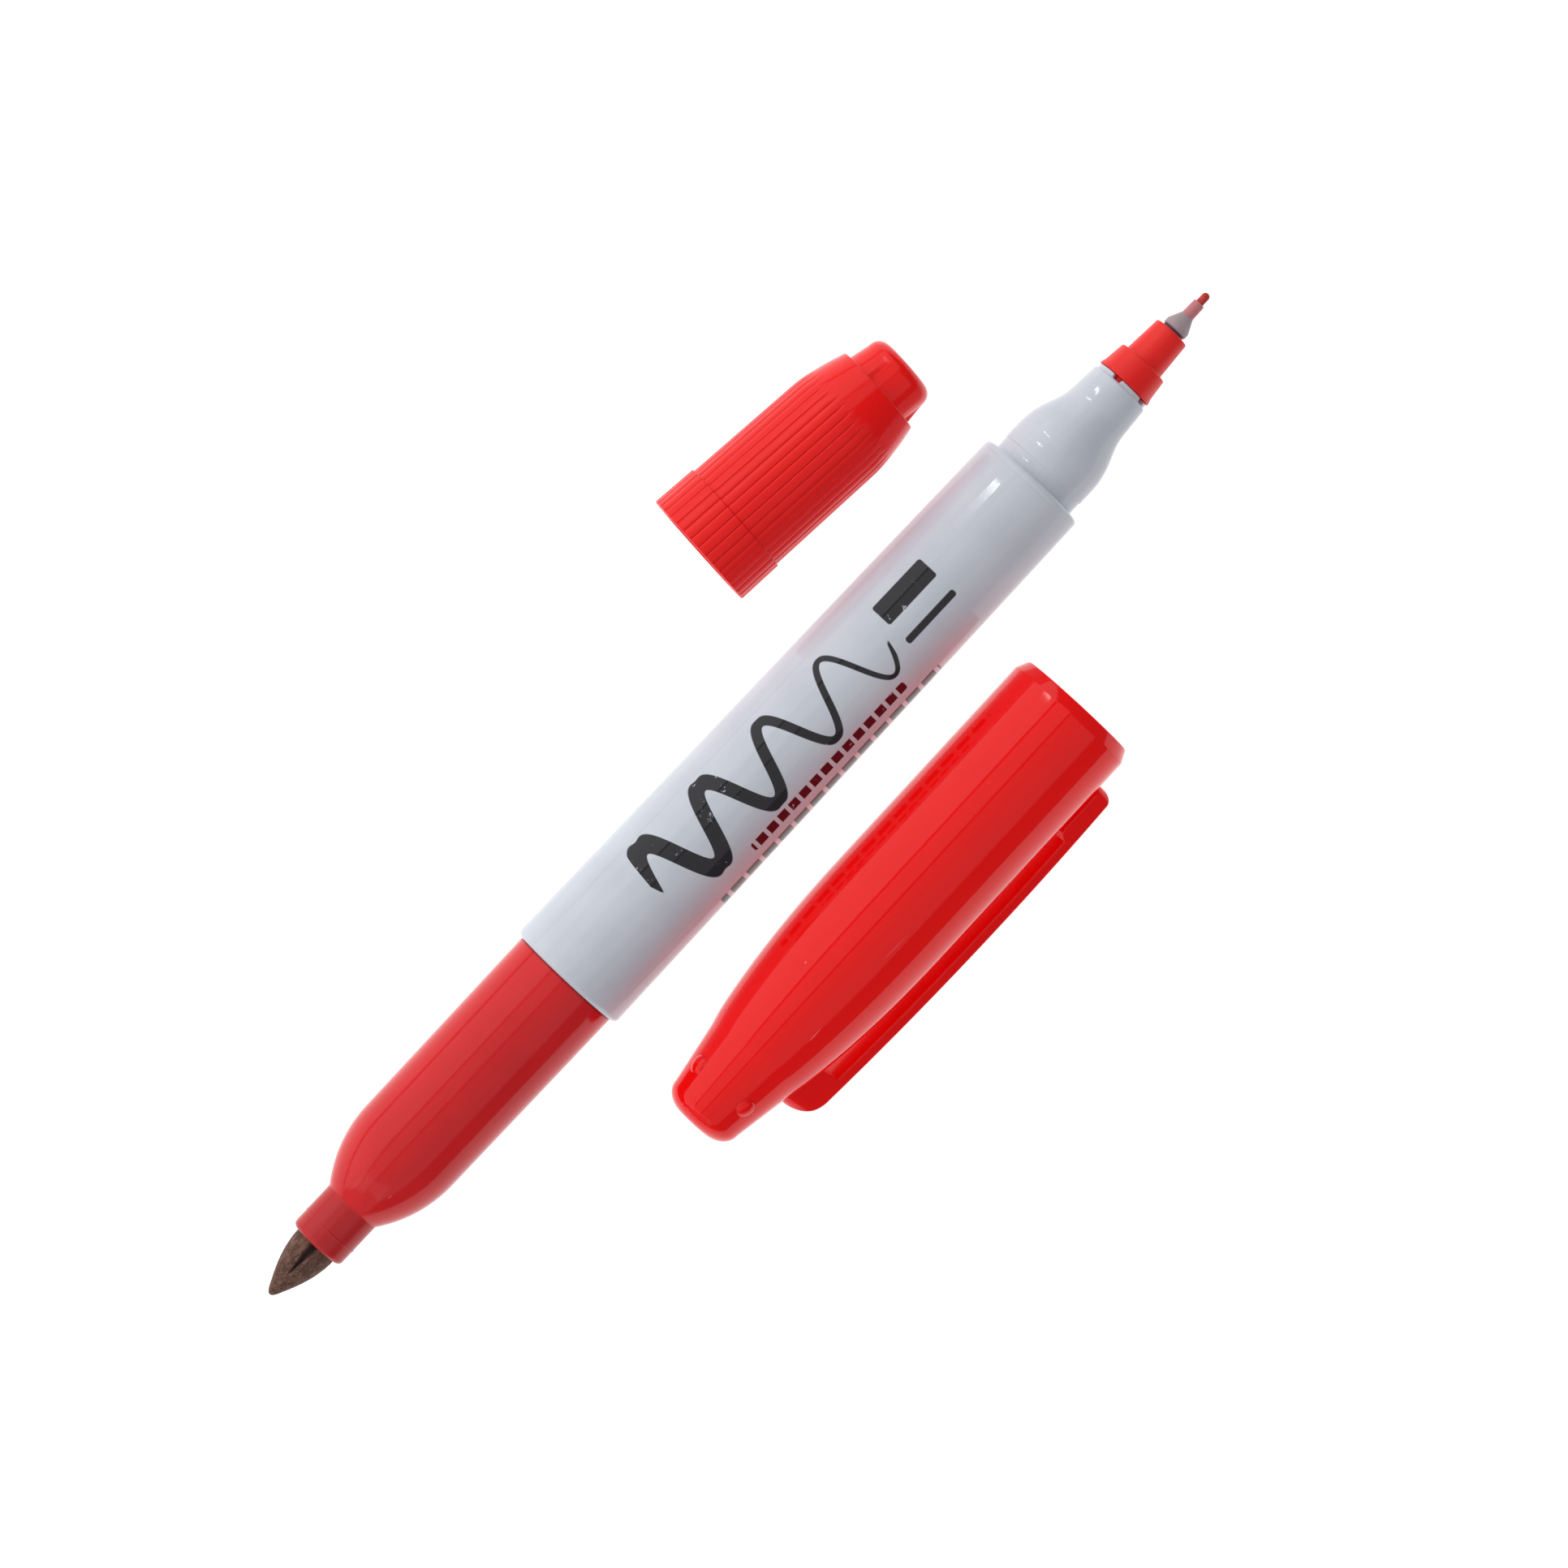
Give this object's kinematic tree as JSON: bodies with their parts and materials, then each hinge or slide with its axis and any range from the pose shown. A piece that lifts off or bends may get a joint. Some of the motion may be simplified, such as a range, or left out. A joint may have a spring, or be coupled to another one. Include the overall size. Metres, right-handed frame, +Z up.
{
  "type": "double-ended felt tip marker with its caps",
  "caption": "Double-ended felt tip marker lying open: bullet nib at one end, fine nib at the other, with its clip cap and its ribbed cap beside it.",
  "frame": {"origin": "middle of the bottom of the whole laid-out set, on the surface it lies on", "axes": "+X along the marker towards its fine tip, +Y towards the fine tip's ribbed cap, +Z up"},
  "size_m": [0.1352, 0.0536, 0.0141],
  "materials": {
    "barrel_plastic": "light cool grey, satin gloss",
    "section_plastic": "red, slightly translucent, soft gloss",
    "bullet_felt": "ink-soaked dark brown felt",
    "ferrule_plastic": "bright red, satin",
    "pipe_plastic": "mauve grey, satin",
    "fine_fibre": "red-orange fibre, matt",
    "reservoir_fibre": "ink-soaked fibre",
    "reservoir_film": "clear wrapping film",
    "broad_cap_plastic": "bright red, glossy",
    "fine_cap_plastic": "bright red, satin, slightly translucent",
    "seal_plastic": "red, matt"
  },
  "bodies": {
    "marker": {"barrel": "barrel_plastic", "front_section": "section_plastic", "bullet_nib": "bullet_felt", "fine_ferrule": "ferrule_plastic", "nib_pipe": "pipe_plastic", "fine_nib": "fine_fibre", "ink_reservoir": "reservoir_fibre", "reservoir_film": "reservoir_film"},
    "broad_cap": {"broad_cap_shell": "broad_cap_plastic", "broad_cap_seal": "seal_plastic"},
    "broad_cap_clip": {"clip": "broad_cap_plastic"},
    "fine_cap": {"fine_cap_shell": "fine_cap_plastic", "fine_cap_seal": "seal_plastic"}
  },
  "joints": [
    {"name": "broad_cap_slide", "type": "slide", "parent": "marker", "child": "broad_cap", "axis": [1, 0, 0], "range_m": [-0.0983, 0]},
    {"name": "fine_cap_slide", "type": "slide", "parent": "marker", "child": "fine_cap", "axis": [1, 0, 0], "range_m": [0, 0.0544]},
    {"name": "clip_flex", "type": "hinge", "parent": "broad_cap", "child": "broad_cap_clip", "pos_m": [-0.01413, -0.02469, 0.00257], "axis": [-0.0047, 0.5367, -0.8437], "range_deg": [0, 3.5], "stiffness_Nm_per_rad": 1}
  ]
}
